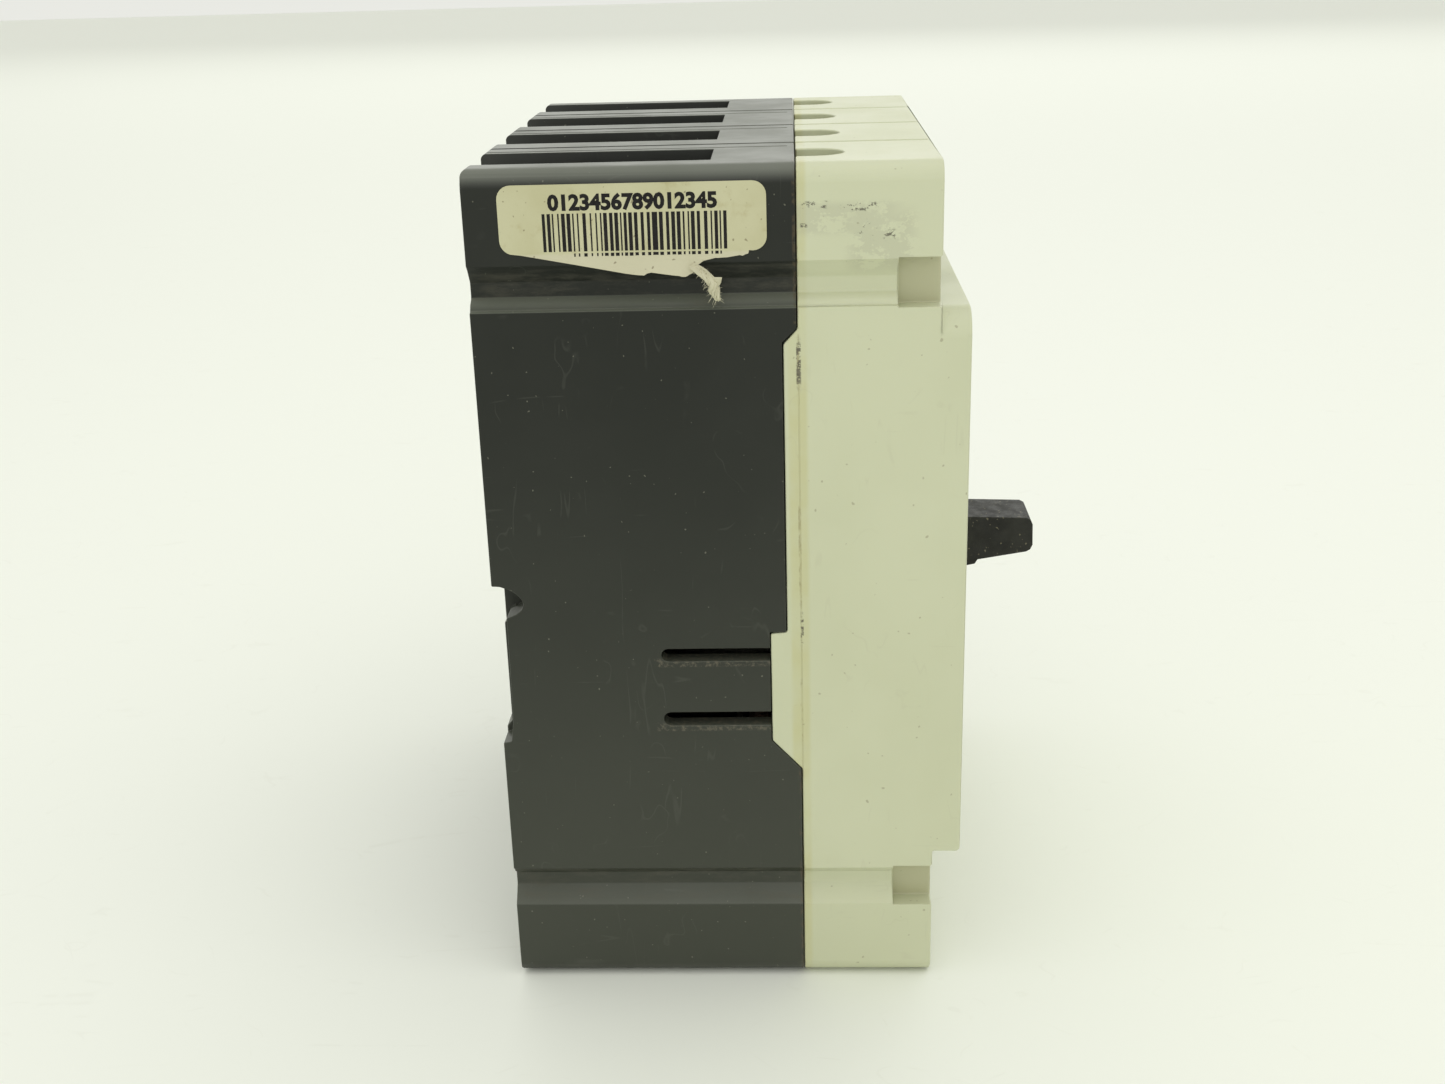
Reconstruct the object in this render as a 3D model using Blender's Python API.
"""Four-pole moulded case breaker, modelled as separate pieces.

Frame: +X across the poles, -Y out of the front, +Z up (line end on top), metres.
The origin is at the middle of the bottom end, halfway between the rear face and the handle's tip.
Depths are measured forward from the rear face; front(depth) turns one into a Y coordinate.
"""

import math

import bmesh
import bpy
from mathutils import Matrix, Vector

# Driving dimensions
POLES = 4
PITCH = 0.0254                       # pole spacing
WIDTH = POLES * PITCH
HEIGHT = 0.1397
HANDLE_REACH = 0.0914                # depth of the handle's tip
REAR_Y = HANDLE_REACH / 2
PARTING = 0.0498                     # depth of the plane where base and cover meet
LOW_FRONT = 0.0716                   # depth of the two low end steps of the cover
HIGH_FRONT = 0.0762                  # depth of the raised middle of the cover
RAISED_LOW = 0.0245                  # height of the raised middle's lower edge
RAISED_TOP = 0.1175                  # height of its upper edge
RAISED_R = 0.0045                    # rounding of its upper corners
GAP = 0.0003                         # clearance between touching pieces
EDGE_R = 0.003                       # rounding of the long side edges
WALL = 0.0032                        # outer side wall
CELL_HALF = 0.0095                   # half the width of a pole's inner compartment
CELL_LOW, CELL_TOP = 0.027, 0.1127
FLOOR = 0.006                        # thickness of the base's rear wall
CEILING = 0.0722                     # depth of the underside of the raised front
WELL_HALF = 0.0065                   # half the width of a terminal well
WELL_DEPTH = 0.0237                  # how far a well reaches in from an end face
WELL_END = 0.035                     # depth where a well stops

BARRIER_HALF = 0.00055               # half the width of the slot between two poles, for a barrier sheet
BARRIER_FRONT = 0.0711               # depth where that slot stops
REAR_TOP_R = 0.001                   # rounding of the base's upper rear edge
SLOT_HALF = 0.0045                   # half the width of a slot in the cover's end faces
SLOT_FRONT = 0.0573                  # depth of a slot's rounded end

# Handle and mechanism
HANDLE_POLE = 1                      # second pole from the -X side
PIVOT_DEPTH, PIVOT_Z = 0.050, 0.0682
HANDLE_HALF_X = 0.005
SLOT_HALF_Z = 0.0145
SHIELD_R = 0.0217
SHIELD_T = 0.0014
TRUNNION_R = 0.0015

# Contacts
BAR_DEPTH, BAR_Z, BAR_R = 0.018, 0.058, 0.0055
OPEN_ANGLE = math.radians(15)        # opening of the contact arms at rest
ARM_TOP, ARM_LOW = 0.034, 0.008      # reach of an arm above and below the crossbar's axis
ARM_HALF_X, ARM_T = 0.0025, 0.003

# Cradle and the plates that carry the mechanism
CRADLE = (0.038, 0.076)              # depth and height of the cradle's pin
CRADLE_PIN_R = 0.0015
PLATE_IN, PLATE_OUT = 0.0079, 0.0090  # the plates' faces, measured from the handle's middle

# Trip gear
TRIP_DEPTH, TRIP_Z, TRIP_R = 0.043, 0.046, 0.0022
BUTTON_POLE = 2
BUTTON_Z = 0.053
BUTTON_R = 0.0026

# Fastenings
SCREW_ROWS = (0.033, 0.1067)         # heights of the cover screws
SCREW_END = 0.0295                   # depth that a cover screw's tip reaches
SCREW_R, SCREW_HEAD_R = 0.0015, 0.0030
SCREW_SLOT_HALF = 0.0005
MOUNT_ROWS = (0.0178, 0.1219)        # heights of the mounting holes
MOUNT_R, MOUNT_HEAD_R = 0.0019, 0.0045
MOUNT_SEAT = 0.060
TERMINAL_IN = 0.0125                 # terminal screw's distance from the end face
ACCESS_R = 0.0043

COLLECTION = "moulded_case_breaker"


def front(depth):
    """Y of a point that lies this far forward of the rear face."""
    return REAR_Y - depth


def pole_x(pole):
    return (pole - (POLES - 1) / 2) * PITCH


WALL_LINES = [-PITCH, 0.0, PITCH]    # the planes between neighbouring poles
SCREW_LINES = (-PITCH, PITCH)


# Scene handling

for old in list(bpy.data.objects):
    bpy.data.objects.remove(old, do_unlink=True)

parts = bpy.data.collections.new(COLLECTION)
bpy.context.scene.collection.children.link(parts)
cutters = bpy.data.collections.new("cutters")
bpy.context.scene.collection.children.link(cutters)


def material(name, colour, roughness, metallic=0.0):
    mat = bpy.data.materials.get(name)
    if mat is None:
        mat = bpy.data.materials.new(name)
        mat.use_nodes = True
        shader = mat.node_tree.nodes["Principled BSDF"]
        shader.inputs["Base Color"].default_value = (*colour, 1.0)
        shader.inputs["Roughness"].default_value = roughness
        shader.inputs["Metallic"].default_value = metallic
    return mat


BASE_PLASTIC = ("base_plastic", (0.035, 0.042, 0.043), 0.55)
COVER_PLASTIC = ("cover_plastic", (0.56, 0.57, 0.50), 0.45)
HANDLE_PLASTIC = ("handle_plastic", (0.02, 0.02, 0.022), 0.6)
STEEL = ("zinc_plated_steel", (0.62, 0.62, 0.60), 0.35, 1.0)
SPRING_STEEL = ("spring_steel", (0.45, 0.45, 0.46), 0.3, 1.0)
COPPER = ("plated_copper", (0.72, 0.55, 0.42), 0.35, 1.0)
BIMETAL = ("bimetal", (0.55, 0.50, 0.42), 0.4, 1.0)
FIBRE = ("arc_fibre", (0.40, 0.16, 0.08), 0.8)
BAR_PLASTIC = ("bar_plastic", (0.10, 0.06, 0.04), 0.5)
BUTTON_PLASTIC = ("button_plastic", (0.55, 0.03, 0.02), 0.4)
PAPER = ("label_paper", (0.80, 0.76, 0.64), 0.8)


def finish(obj, look):
    obj.data.materials.clear()
    obj.data.materials.append(material(*look))
    return obj


def link(name, mesh, where):
    obj = bpy.data.objects.new(name, mesh)
    where.objects.link(obj)
    if where is cutters:
        obj.hide_render = True
        obj.display_type = "WIRE"
    return obj


def from_bmesh(name, bm, where):
    bmesh.ops.recalc_face_normals(bm, faces=bm.faces)
    if bm.calc_volume(signed=True) < 0:
        bmesh.ops.reverse_faces(bm, faces=bm.faces)
    mesh = bpy.data.meshes.new(name)
    bm.to_mesh(mesh)
    bm.free()
    return link(name, mesh, where)


def box(name, x, depth, z, where=parts):
    """A block; x, depth and z are (low, high) pairs."""
    size = Vector((x[1] - x[0], depth[1] - depth[0], z[1] - z[0]))
    middle = Vector(((x[0] + x[1]) / 2, front((depth[0] + depth[1]) / 2), (z[0] + z[1]) / 2))
    bm = bmesh.new()
    bmesh.ops.create_cube(bm, size=1.0)
    bmesh.ops.scale(bm, vec=size, verts=bm.verts)
    bmesh.ops.translate(bm, vec=middle, verts=bm.verts)
    return from_bmesh(name, bm, where)


def rod(name, axis, middle, reach, radius, where=parts, sides=16):
    """A round bar along "X", "Y" or "Z". reach is (low, high): x, depth or z; middle holds the other two."""
    length = reach[1] - reach[0]
    centre = (reach[0] + reach[1]) / 2
    bm = bmesh.new()
    bmesh.ops.create_cone(bm, cap_ends=True, segments=sides, radius1=radius, radius2=radius, depth=length)
    if axis == "X":
        turn = Matrix.Rotation(math.pi / 2, 4, "Y")
        place = Vector((centre, front(middle[0]), middle[1]))
    elif axis == "Y":
        turn = Matrix.Rotation(math.pi / 2, 4, "X")
        place = Vector((middle[0], front(centre), middle[1]))
    else:
        turn = Matrix.Identity(4)
        place = Vector((middle[0], front(middle[1]), centre))
    bm.transform(Matrix.Translation(place) @ turn)
    return from_bmesh(name, bm, where)


def plate(name, outline, axis, reach, where=parts):
    """A flat outline made thick along "X" (points are depth, z) or "Y" (points are x, z; reach in depth)."""
    curve = bpy.data.curves.new(name, "CURVE")
    curve.dimensions = "2D"
    curve.fill_mode = "BOTH"
    curve.extrude = (reach[1] - reach[0]) / 2
    spline = curve.splines.new("POLY")
    spline.points.add(len(outline) - 1)
    spline.use_cyclic_u = True
    for point, (a, b) in zip(spline.points, outline):
        point.co = (front(a) if axis == "X" else a, b, 0.0, 1.0)
    guide = link(name + "_outline", curve, cutters)
    bpy.context.view_layer.update()
    evaluated = guide.evaluated_get(bpy.context.evaluated_depsgraph_get())
    flat = bpy.data.meshes.new_from_object(evaluated)
    bpy.data.objects.remove(guide, do_unlink=True)
    bm = bmesh.new()
    bm.from_mesh(flat)
    bpy.data.meshes.remove(flat)
    bmesh.ops.remove_doubles(bm, verts=bm.verts, dist=1e-6)
    centre = (reach[0] + reach[1]) / 2
    if axis == "X":
        basis = Matrix(((0, 0, 1, centre), (1, 0, 0, 0), (0, 1, 0, 0), (0, 0, 0, 1)))
    else:
        basis = Matrix(((1, 0, 0, 0), (0, 0, -1, front(centre)), (0, 1, 0, 0), (0, 0, 0, 1)))
    bm.transform(basis)
    return from_bmesh(name, bm, where)


def arc(centre, radius, start, end, steps=5):
    """Points of an arc, with its angles in degrees."""
    angles = [math.radians(start + (end - start) * i / steps) for i in range(steps + 1)]
    return [(centre[0] + radius * math.cos(a), centre[1] + radius * math.sin(a)) for a in angles]


def combine(obj, tools, operation):
    """Boolean obj with every tool at once, through a collection of its own."""
    group = bpy.data.collections.new(obj.name + "_" + operation.lower())
    cutters.children.link(group)
    for tool in tools:
        for owner in list(tool.users_collection):
            owner.objects.unlink(tool)
        group.objects.link(tool)
        tool.hide_render = True
        tool.display_type = "WIRE"
    step = obj.modifiers.new(operation.lower(), "BOOLEAN")
    step.operation = operation
    step.operand_type = "COLLECTION"
    step.collection = group
    step.solver = "EXACT"
    return obj


def cut(obj, tools):
    return combine(obj, tools, "DIFFERENCE")


def join(obj, tools):
    return combine(obj, tools, "UNION")


def hang(pivot, children):
    """Parent pieces, modelled in place, to a pivot empty, with the tools that cut or join them."""
    for child in children:
        tools = [tool for step in child.modifiers for tool in step.collection.objects]
        for piece in [child] + tools:
            piece.parent = pivot
            piece.matrix_parent_inverse = Matrix.Translation(-pivot.location)


def pivot_at(name, x, depth, z):
    empty = bpy.data.objects.new(name, None)
    empty.empty_display_size = 0.01
    parts.objects.link(empty)
    empty.location = (x, front(depth), z)
    return empty


# Outlines of the case

GROOVE_DEEP = 0.0023


def groove_side():
    """One waist groove on the +X side below mid-height, from the bottom up: (inset from the side, z)."""
    return [(0.0, 0.0143), (0.0009, 0.0152), (GROOVE_DEEP, 0.0172), (GROOVE_DEEP, 0.0195),
            (0.0011, 0.0203), (0.0006, 0.0212), (0.0, 0.0214)]


def end_outline(half, low, top):
    """The case seen along its depth: a rounded rectangle with four waist grooves."""
    corners = arc((half - EDGE_R, low + EDGE_R), EDGE_R, -90, 0)
    lower = [(half - inset, z) for inset, z in groove_side()]
    upper = [(half - inset, HEIGHT - z) for inset, z in reversed(groove_side())]
    right = corners + lower + upper + arc((half - EDGE_R, top - EDGE_R), EDGE_R, 0, 90)
    return right + [(-x, z) for x, z in reversed(right)]


def well_outline(top_end):
    """A terminal well seen from the side, with its slanted front end."""
    points = [(-0.002, -0.002), (WELL_END + 0.002, -0.002), (WELL_END + 0.002, 0.001),
              (WELL_END, 0.004), (WELL_END, WELL_DEPTH), (-0.002, WELL_DEPTH)]
    return [(d, HEIGHT - z) for d, z in points] if top_end else points


def at_end(z, top_end):
    """A height measured inwards from the bottom or the top end."""
    return HEIGHT - z if top_end else z


def span(a, b):
    return (min(a, b), max(a, b))


ENDS = ((True, "line"), (False, "load"))


def shared_cutters(prefix):
    """Holes that run through base and cover alike."""
    tools = []
    for i, x in enumerate(WALL_LINES):
        for top_end, end in ENDS:
            groove = span(at_end(-0.002, top_end), at_end(0.009, top_end))
            tools.append(box(f"{prefix}_barrier_slot_{end}_{i}", (x - BARRIER_HALF, x + BARRIER_HALF),
                             (-0.002, BARRIER_FRONT), groove, cutters))
    for x in SCREW_LINES:
        for z in MOUNT_ROWS:
            tools.append(rod(f"{prefix}_mount_hole_{x:.3f}_{z:.3f}", "Y", (x, z),
                             (-0.002, HIGH_FRONT + 0.002), MOUNT_R, cutters))
        for z in SCREW_ROWS:
            tools.append(rod(f"{prefix}_screw_hole_{x:.3f}_{z:.3f}", "Y", (x, z),
                             (SCREW_END - 0.0015, HIGH_FRONT + 0.002), SCREW_R + GAP, cutters))
    for pole in range(POLES):
        for top_end, end in ENDS:
            tools.append(rod(f"{prefix}_access_{end}_{pole}", "Y", (pole_x(pole), at_end(TERMINAL_IN, top_end)),
                             (WELL_END - 0.002, LOW_FRONT + 0.002), ACCESS_R, cutters))
    return tools


def step_outline(clearance):
    """The stepped stretch of the parting line on a side wall, between base and cover."""
    c = clearance
    return [(PARTING + 0.006, 0.1150 + c), (PARTING, 0.1150 + c), (0.0476 - c, 0.1126 + c),
            (0.0476 - c, 0.0651), (0.0449 - c, 0.0648 + c), (0.0449 - c, 0.0456),
            (PARTING, 0.0403 - c), (PARTING + 0.006, 0.0403 - c)]


def make_base():
    half = WIDTH / 2
    base = plate("base", end_outline(half, 0.0, HEIGHT), "Y", (0.0, PARTING - GAP))
    tools = shared_cutters("base")
    rear_low = [(-0.003, -0.003), (0.0012, -0.003)] + list(reversed(arc((0.0012, 0.0012), 0.0012, 180, 270, 3)))
    r = REAR_TOP_R
    rear_top = [(-r, HEIGHT + r), (-r, HEIGHT - r), (0.0, HEIGHT - r)]
    rear_top += list(reversed(arc((r, HEIGHT - r), r, 90, 180)))[1:] + [(r, HEIGHT + r)]
    tools.append(plate("base_rear_low_round", rear_low, "X", (-half - 0.01, half + 0.01), cutters))
    tools.append(plate("base_rear_top_round", rear_top, "X", (-half - 0.01, half + 0.01), cutters))
    for pole in range(POLES):
        x = pole_x(pole)
        cell = (x - CELL_HALF, x + CELL_HALF)
        tools.append(box(f"base_cell_{pole}", cell, (FLOOR, PARTING + 0.01), (CELL_LOW, CELL_TOP), cutters))
        for top_end, end in ENDS:
            tools.append(plate(f"base_well_{end}_{pole}", well_outline(top_end), "X",
                               (x - WELL_HALF, x + WELL_HALF), cutters))
            passage = span(at_end(WELL_DEPTH - 0.002, top_end), at_end(CELL_LOW + 0.002, top_end))
            tools.append(box(f"base_passage_{end}_{pole}", (x - 0.0045, x + 0.0045), (0.0073, 0.0112),
                             passage, cutters))
    for i, x in enumerate(WALL_LINES):
        groove = (x - 0.0048, x - 0.0042)
        tools.append(box(f"base_wall_groove_{i}", groove, (-0.002, 0.0485), (HEIGHT - 0.0005, HEIGHT + 0.002), cutters))
        wall = (x - 0.006, x + 0.006)
        bar_z = (BAR_Z - BAR_R - 0.0008, BAR_Z + BAR_R + 0.0008)
        tools.append(box(f"base_crossbar_gap_{i}", wall, (BAR_DEPTH - BAR_R - 0.0008, PARTING + 0.01), bar_z, cutters))
        trip_z = (TRIP_Z - 0.003, TRIP_Z + 0.003)
        tools.append(box(f"base_trip_gap_{i}", wall, (TRIP_DEPTH - 0.003, PARTING + 0.01), trip_z, cutters))
    for sign in (-1, 1):
        side_wall = span(sign * (half - WALL - 0.0001), sign * (half + 0.002))
        tools.append(plate(f"base_step_{sign}", step_outline(GAP), "X", side_wall, cutters))
        for low, high in ((0.0601, 0.0623), (0.0485, 0.0509)):
            r = (high - low) / 2
            vent = arc((0.027 + r, low + r), r, 270, 90, 6) + [(0.047, high), (0.047, low)]
            tools.append(plate(f"base_vent_{sign}_{low:.4f}", vent, "X", side_wall, cutters))
        hook = [(-0.002, 0.0737), (0.0013, 0.0735), (0.0027, 0.0730), (0.0039, 0.0722), (0.0047, 0.0713),
                (0.0050, 0.0704), (0.0047, 0.0695), (0.0037, 0.0687), (0.0021, 0.0680), (0.0019, 0.0498),
                (0.0014, 0.0458), (-0.002, 0.0452)]
        tools.append(plate(f"base_rear_notch_{sign}", hook, "X",
                           span(sign * (half - 0.0045), sign * (half + 0.002)), cutters))
        shelf = [(-0.002, 0.0730), (0.0030, 0.0730), (0.0030, 0.0670), (0.0009, 0.0655),
                 (0.0009, 0.0475), (-0.002, 0.0445)]
        tools.append(plate(f"base_rear_shelf_{sign}", shelf, "X",
                           span(sign * (half - 0.0110), sign * (half - 0.0044)), cutters))
    cut(base, tools)
    return finish(base, BASE_PLASTIC)


def raised_outline():
    """The raised middle of the cover seen from the front."""
    half = WIDTH / 2
    right = [(half, RAISED_LOW)] + arc((half - RAISED_R, RAISED_TOP - RAISED_R), RAISED_R, 0, 90, 8)
    return right + [(-x, z) for x, z in reversed(right)]


def make_cover():
    half = WIDTH / 2
    cover = plate("cover", end_outline(half, 0.0, HEIGHT), "Y", (PARTING, LOW_FRONT))
    raised = plate("cover_raised", raised_outline(), "Y", (PARTING + 0.004, HIGH_FRONT), cutters)
    skirts = [plate(f"cover_skirt_{sign}", step_outline(0.0), "X",
                    span(sign * (half - WALL + GAP), sign * half), cutters) for sign in (-1, 1)]
    join(cover, [raised] + skirts)
    tools = shared_cutters("cover")
    for pole in range(POLES):
        x = pole_x(pole)
        cell = (x - CELL_HALF, x + CELL_HALF)
        tools.append(box(f"cover_cell_{pole}", cell, (PARTING - 0.01, CEILING), (CELL_LOW + 0.001, CELL_TOP - 0.001),
                         cutters))
        for top_end, end in ENDS:
            mouth = span(at_end(-0.002, top_end), at_end(0.005, top_end))
            tools.append(box(f"cover_slot_{end}_{pole}", (x - SLOT_HALF, x + SLOT_HALF),
                             (PARTING - 0.002, SLOT_FRONT - SLOT_HALF), mouth, cutters))
            tools.append(rod(f"cover_slot_round_{end}_{pole}", "Z", (x, SLOT_FRONT - SLOT_HALF), mouth,
                             SLOT_HALF, cutters, 20))
    for x in SCREW_LINES:
        for z in MOUNT_ROWS:
            tools.append(rod(f"cover_mount_seat_{x:.3f}_{z:.3f}", "Y", (x, z), (MOUNT_SEAT, LOW_FRONT + 0.002),
                             MOUNT_HEAD_R, cutters, 20))
        for z in SCREW_ROWS:
            tools.append(rod(f"cover_screw_seat_{x:.3f}_{z:.3f}", "Y", (x, z), (0.0734, HIGH_FRONT + 0.002),
                             SCREW_HEAD_R + 0.0004, cutters, 20))
    for sign in (-1, 1):
        notch_x = span(sign * (half - 0.0034), sign * (half + 0.002))
        for low, high in ((0.0141, 0.0217), (HEIGHT - 0.0217, HEIGHT - 0.0141)):
            tools.append(box(f"cover_corner_notch_{sign}_{low:.4f}", notch_x, (0.065, LOW_FRONT + 0.002),
                             (low, high), cutters))
    handle_x = pole_x(HANDLE_POLE)
    tools.append(box("cover_handle_slot", (handle_x - 0.0058, handle_x + 0.0058), (CEILING - 0.002, HIGH_FRONT + 0.002),
                     (PIVOT_Z - SLOT_HALF_Z, PIVOT_Z + SLOT_HALF_Z), cutters))
    tools.append(rod("cover_button_hole", "Y", (pole_x(BUTTON_POLE), BUTTON_Z), (CEILING - 0.002, HIGH_FRONT + 0.002),
                     BUTTON_R + 0.0004, cutters, 20))
    cut(cover, tools)
    return finish(cover, COVER_PLASTIC)


def screw(name, x, z, head, shank, head_r, shank_r, look):
    """A slotted screw along the depth; head and shank are (low, high) depths."""
    body = rod(name, "Y", (x, z), head, head_r, sides=20)
    stem = rod(name + "_shank", "Y", (x, z), (shank[0], head[0] + 0.0004), shank_r, cutters, 12)
    join(body, [stem])
    cut(body, [box(name + "_slot", (x - head_r - 0.001, x + head_r + 0.001), (head[1] - 0.0009, head[1] + 0.001),
                   (z - SCREW_SLOT_HALF, z + SCREW_SLOT_HALF), cutters)])
    return finish(body, look)


def make_cover_screws():
    for i, (x, z) in enumerate((x, z) for z in reversed(SCREW_ROWS) for x in SCREW_LINES):
        screw(f"cover_screw_{i + 1}", x, z, (0.0737, 0.0757), (SCREW_END, 0.0737), SCREW_HEAD_R, SCREW_R, STEEL)


def make_terminals():
    for top_end, end in ENDS:
        for pole in range(POLES):
            x = pole_x(pole)
            z = at_end(TERMINAL_IN, top_end)
            collar = box(f"{end}_collar_{pole + 1}", (x - 0.0061, x + 0.0061), (0.0040, 0.0300), (z - 0.0055, z + 0.0055))
            window = box(f"{collar.name}_window", (x - 0.0046, x + 0.0046), (0.0070, 0.0240),
                         (z - 0.007, z + 0.007), cutters)
            thread = rod(f"{collar.name}_thread", "Y", (x, z), (0.0230, 0.0310), 0.0029, cutters)
            cut(collar, [window, thread])
            finish(collar, STEEL)
            screw(f"{end}_terminal_screw_{pole + 1}", x, z, (0.0310, 0.0335), (0.0190, 0.0310), 0.0036, 0.0025, STEEL)


def make_conductors():
    for pole in range(POLES):
        x = pole_x(pole)
        line = [(0.0080, HEIGHT - 0.0080), (0.0080, 0.0840), (0.0105, 0.0840), (0.0105, 0.0880), (0.0130, 0.0885),
                (0.0130, 0.0935), (0.0105, 0.0940), (0.0105, HEIGHT - 0.0080)]
        finish(plate(f"line_conductor_{pole + 1}", line, "X", (x - 0.0038, x + 0.0038)), COPPER)
        load = [(0.0080, 0.0080), (0.0105, 0.0080), (0.0105, 0.0278), (0.0400, 0.0278), (0.0400, 0.0300),
                (0.0080, 0.0300)]
        finish(plate(f"load_conductor_{pole + 1}", load, "X", (x - 0.0038, x + 0.0038)), COPPER)
        finish(box(f"bimetal_{pole + 1}", (x - 0.0035, x + 0.0035), (0.0385, 0.0395), (0.0303, 0.0435)), BIMETAL)


def make_arc_chutes():
    plates = 7
    low, high = 0.0820, 0.1100
    rear, fore = 0.0140, 0.0465
    step = (fore - rear) / plates
    for pole in range(POLES):
        x = pole_x(pole)
        chute = box(f"arc_chute_{pole + 1}", (x - 0.0089, x + 0.0089), (rear, fore), (low, high))
        tools = [box(f"{chute.name}_throat", (x - 0.0045, x + 0.0045), (rear - 0.002, fore + 0.002),
                     (low - 0.002, 0.1000), cutters)]
        for i in range(plates):
            begin = rear + step * i + 0.0012
            tools.append(box(f"{chute.name}_space_{i}", (x - 0.0077, x + 0.0077), (begin, begin + step - 0.0012),
                             (low - 0.002, high + 0.002), cutters))
        finish(cut(chute, tools), FIBRE)


def make_contacts():
    pivot = pivot_at("crossbar_axis", 0.0, BAR_DEPTH, BAR_Z)
    reach = WIDTH / 2 - WALL - 0.0012
    bar = rod("crossbar", "X", (BAR_DEPTH, BAR_Z), (-reach, reach), BAR_R, sides=16)
    windows = []
    arms = []
    for pole in range(POLES):
        x = pole_x(pole)
        windows.append(box(f"crossbar_window_{pole}", (x - ARM_HALF_X - GAP, x + ARM_HALF_X + GAP),
                           (BAR_DEPTH - ARM_T / 2 - GAP, BAR_DEPTH + ARM_T / 2 + GAP),
                           (BAR_Z - 0.01, BAR_Z + 0.01), cutters))
        rear = BAR_DEPTH - ARM_T / 2
        face = 0.0133
        tip = BAR_Z + ARM_TOP
        outline = [(rear, BAR_Z - ARM_LOW), (rear + ARM_T, BAR_Z - ARM_LOW), (rear + ARM_T, tip), (rear, tip),
                   (rear, tip - 0.0005), (face, tip - 0.0005), (face, tip - 0.0045), (rear, tip - 0.0050)]
        arms.append(finish(plate(f"contact_arm_{pole + 1}", outline, "X", (x - ARM_HALF_X, x + ARM_HALF_X)), COPPER))
    finish(cut(bar, windows), BAR_PLASTIC)
    x = pole_x(HANDLE_POLE)
    link_outline = [(0.0238, 0.0590), (0.0242, 0.0570), (0.0315, 0.0610), (0.0322, 0.0625), (0.0310, 0.0638)]
    toggle = plate("toggle_link", link_outline, "X", (x + 0.0029, x + 0.0040))
    twin = plate("toggle_link_twin", link_outline, "X", (x - 0.0040, x - 0.0029), cutters)
    pin = rod("toggle_link_pin", "X", (0.0308, 0.0622), (x - 0.0045, x + 0.0045), 0.0008, cutters, 10)
    finish(join(toggle, [twin, pin]), STEEL)
    hang(pivot, [bar, toggle] + arms)
    pivot.rotation_euler = (OPEN_ANGLE, 0.0, 0.0)


def make_handle():
    x = pole_x(HANDLE_POLE)
    pivot = pivot_at("handle_axis", x, PIVOT_DEPTH, PIVOT_Z)
    root_half, tip_low, tip_top = 0.0051, 0.0661, 0.0725
    side = [(0.0662, PIVOT_Z - root_half), (0.0775, PIVOT_Z - root_half), (0.0812, 0.0639), (0.0817, 0.0647),
            (0.0903, tip_low), (0.0910, 0.0665), (HANDLE_REACH, 0.0674), (0.0913, 0.0712), (0.0909, 0.0721),
            (0.0901, tip_top), (0.0772, 0.0729), (0.0760, PIVOT_Z + root_half), (0.0662, PIVOT_Z + root_half)]
    handle = finish(plate("handle", side, "X", (x - HANDLE_HALF_X, x + HANDLE_HALF_X)), HANDLE_PLASTIC)
    centre = (PIVOT_DEPTH, PIVOT_Z)
    swing = 57
    ring = arc(centre, SHIELD_R, -swing, swing, 20) + arc(centre, SHIELD_R - SHIELD_T, swing, -swing, 20)
    shield = plate("handle_shield", ring, "X", (x - 0.0072, x + 0.0072))
    hole = box("handle_shield_hole", (x - HANDLE_HALF_X - GAP, x + HANDLE_HALF_X + GAP), (0.060, 0.080),
               (PIVOT_Z - root_half - GAP, PIVOT_Z + root_half + GAP), cutters)
    finish(cut(shield, [hole]), HANDLE_PLASTIC)
    cheek = arc(centre, 0.0038, 120, 240, 6) + [(0.0640, PIVOT_Z - 0.0045), (0.0659, PIVOT_Z - 0.0045),
                                                (0.0659, PIVOT_Z + 0.0045), (0.0640, PIVOT_Z + 0.0045)]
    yoke = plate("handle_yoke", cheek, "X", (x + 0.0062, x + 0.0073))
    twin = plate("handle_yoke_twin", cheek, "X", (x - 0.0073, x - 0.0062), cutters)
    bridge = box("handle_yoke_bridge", (x - 0.0068, x + 0.0068), (0.0646, 0.0658),
                 (PIVOT_Z - 0.0044, PIVOT_Z + 0.0044), cutters)
    trunnions = [rod(f"handle_yoke_trunnion_{sign}", "X", centre, span(x + sign * 0.0068, x + sign * 0.0092),
                     TRUNNION_R, cutters, 12) for sign in (-1, 1)]
    finish(join(yoke, [twin, bridge] + trunnions), STEEL)
    springs = [coil(f"toggle_spring_{i + 1}", (x + sign * 0.0032, 0.0642, 0.0672), (x + sign * 0.0032, 0.0385, 0.0664),
                    0.0015, 0.0003, 9) for i, sign in enumerate((-1, 1))]
    hang(pivot, [handle, shield, yoke] + springs)


def coil(name, start, end, radius, wire, turns, look=SPRING_STEEL):
    """A coil spring between two points given as (x, depth, z)."""
    a = Vector((start[0], front(start[1]), start[2]))
    b = Vector((end[0], front(end[1]), end[2]))
    along = (b - a).normalized()
    side = along.orthogonal().normalized()
    other = along.cross(side)
    per_turn = 8
    count = turns * per_turn
    curve = bpy.data.curves.new(name, "CURVE")
    curve.dimensions = "3D"
    curve.bevel_depth = wire
    curve.bevel_resolution = 1
    curve.use_fill_caps = True
    spline = curve.splines.new("POLY")
    spline.points.add(count)
    for i, point in enumerate(spline.points):
        angle = math.tau * i / per_turn
        place = a.lerp(b, i / count) + radius * (math.cos(angle) * side + math.sin(angle) * other)
        point.co = (*place, 1.0)
    obj = link(name, curve, parts)
    curve.materials.append(material(*look))
    return obj


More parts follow.
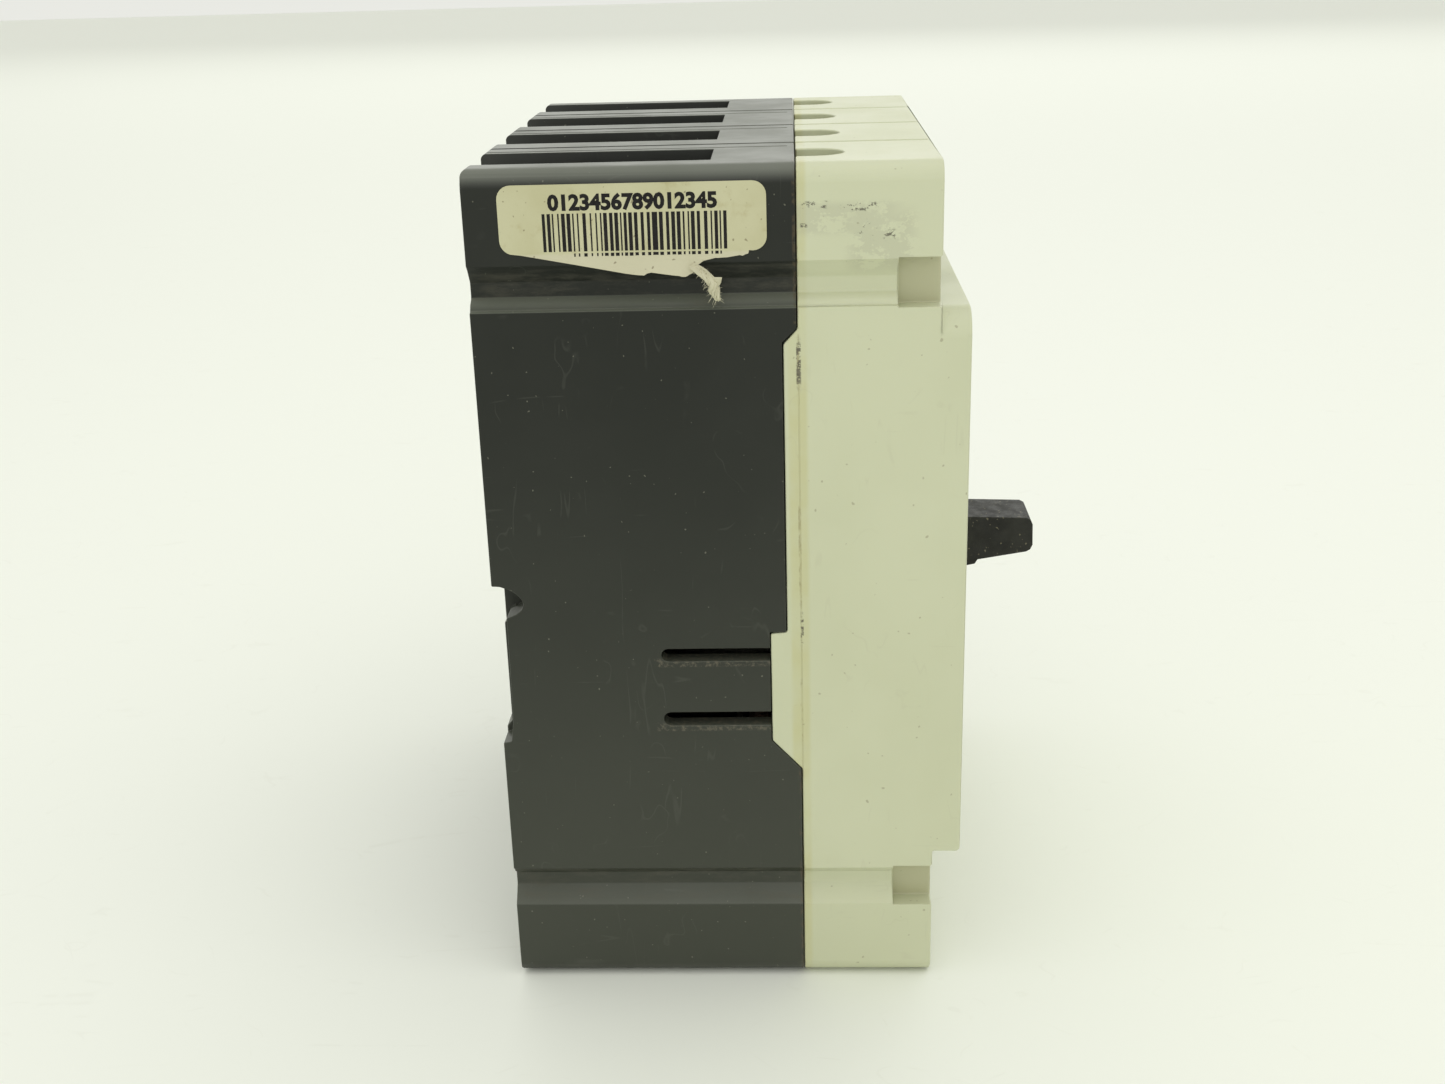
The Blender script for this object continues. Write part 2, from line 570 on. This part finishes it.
def make_mechanism():
    x = pole_x(HANDLE_POLE)
    outline = [(0.0063, 0.0700), (0.0310, 0.0700), (0.0310, 0.0500), (0.0560, 0.0500), (0.0620, 0.0580),
               (0.0620, 0.0760), (0.0570, 0.0800), (0.0063, 0.0800)]
    for i, sign in enumerate((-1, 1)):
        reach = span(x + sign * PLATE_IN, x + sign * PLATE_OUT)
        frame = plate(f"mechanism_side_{i + 1}", outline, "X", reach)
        wide = span(x + sign * 0.006, x + sign * 0.011)
        holes = [rod(f"{frame.name}_pivot_hole", "X", (PIVOT_DEPTH, PIVOT_Z), wide, TRUNNION_R + GAP, cutters, 12),
                 rod(f"{frame.name}_cradle_hole", "X", CRADLE, wide, CRADLE_PIN_R + GAP, cutters, 12)]
        finish(cut(frame, holes), STEEL)
    finish(rod("cradle_pin", "X", CRADLE, (x - 0.0093, x + 0.0093), CRADLE_PIN_R, sides=12), STEEL)
    pivot = pivot_at("cradle_axis", x, *CRADLE)
    lever = arc(CRADLE, 0.0030, 30, 180, 6) + [(0.0400, 0.0560), (0.0430, 0.0512), (0.0448, 0.0520),
                                               (0.0425, 0.0570), (0.0408, 0.0680)]
    cradle = plate("cradle", lever, "X", (x - 0.0007, x + 0.0007))
    cut(cradle, [rod("cradle_hole", "X", CRADLE, (x - 0.002, x + 0.002), CRADLE_PIN_R + GAP, cutters, 12)])
    finish(cradle, STEEL)
    hang(pivot, [cradle])


def make_trip_gear():
    pivot = pivot_at("trip_bar_axis", 0.0, TRIP_DEPTH, TRIP_Z)
    reach = WIDTH / 2 - WALL - 0.0012
    bar = rod("trip_bar", "X", (TRIP_DEPTH, TRIP_Z), (-reach, reach), TRIP_R, sides=12)
    arms = [box(f"trip_bar_paddle_{pole}", (pole_x(pole) - 0.003, pole_x(pole) + 0.003),
                (0.0422, 0.0434), (0.0385, TRIP_Z), cutters) for pole in range(POLES)]
    x = pole_x(BUTTON_POLE)
    arms.append(box("trip_bar_lever", (x - 0.0035, x + 0.0035), (0.0422, 0.0438), (TRIP_Z, 0.0550), cutters))
    finish(join(bar, arms), BAR_PLASTIC)
    hang(pivot, [bar])
    where = (x, BUTTON_Z)
    button = rod("trip_button", "Y", where, (0.0668, 0.0772), BUTTON_R, sides=20)
    flange = rod("trip_button_flange", "Y", where, (0.0658, 0.0675), 0.0042, cutters, 20)
    stem = rod("trip_button_stem", "Y", where, (0.0442, 0.0664), 0.0013, cutters, 12)
    finish(join(button, [flange, stem]), BUTTON_PLASTIC)
    seat = box("button_guide", (x - 0.0092, x + 0.0092), (0.0560, 0.0575), (0.0480, 0.0580))
    cut(seat, [rod("button_guide_hole", "Y", where, (0.054, 0.059), 0.0017, cutters, 12)])
    finish(seat, STEEL)
    coil("button_spring", (x, 0.0579, BUTTON_Z), (x, 0.0654, BUTTON_Z), 0.0024, 0.0003, 5)


def label_outline(corner, low, high):
    (a0, b0), (a1, b1) = low, high
    return (arc((a1 - corner, b1 - corner), corner, 0, 90, 4) + arc((a0 + corner, b1 - corner), corner, 90, 180, 4)
            + arc((a0 + corner, b0 + corner), corner, 180, 270, 4) + arc((a1 - corner, b0 + corner), corner, 270, 360, 4))


def make_labels():
    half = WIDTH / 2
    side = label_outline(0.0022, (0.0054, 0.1271), (0.0454, 0.1374))
    finish(plate("side_label", side, "X", (-half - 0.00018, -half - 0.00006)), PAPER)
    face = label_outline(0.0012, (0.0040, 0.0860), (0.0450, 0.1050))
    finish(plate("rating_label", face, "Y", (HIGH_FRONT + 0.00006, HIGH_FRONT + 0.00018)), PAPER)


make_base()
make_cover()
make_cover_screws()
make_terminals()
make_conductors()
make_arc_chutes()
make_contacts()
make_handle()
make_mechanism()
make_trip_gear()
make_labels()
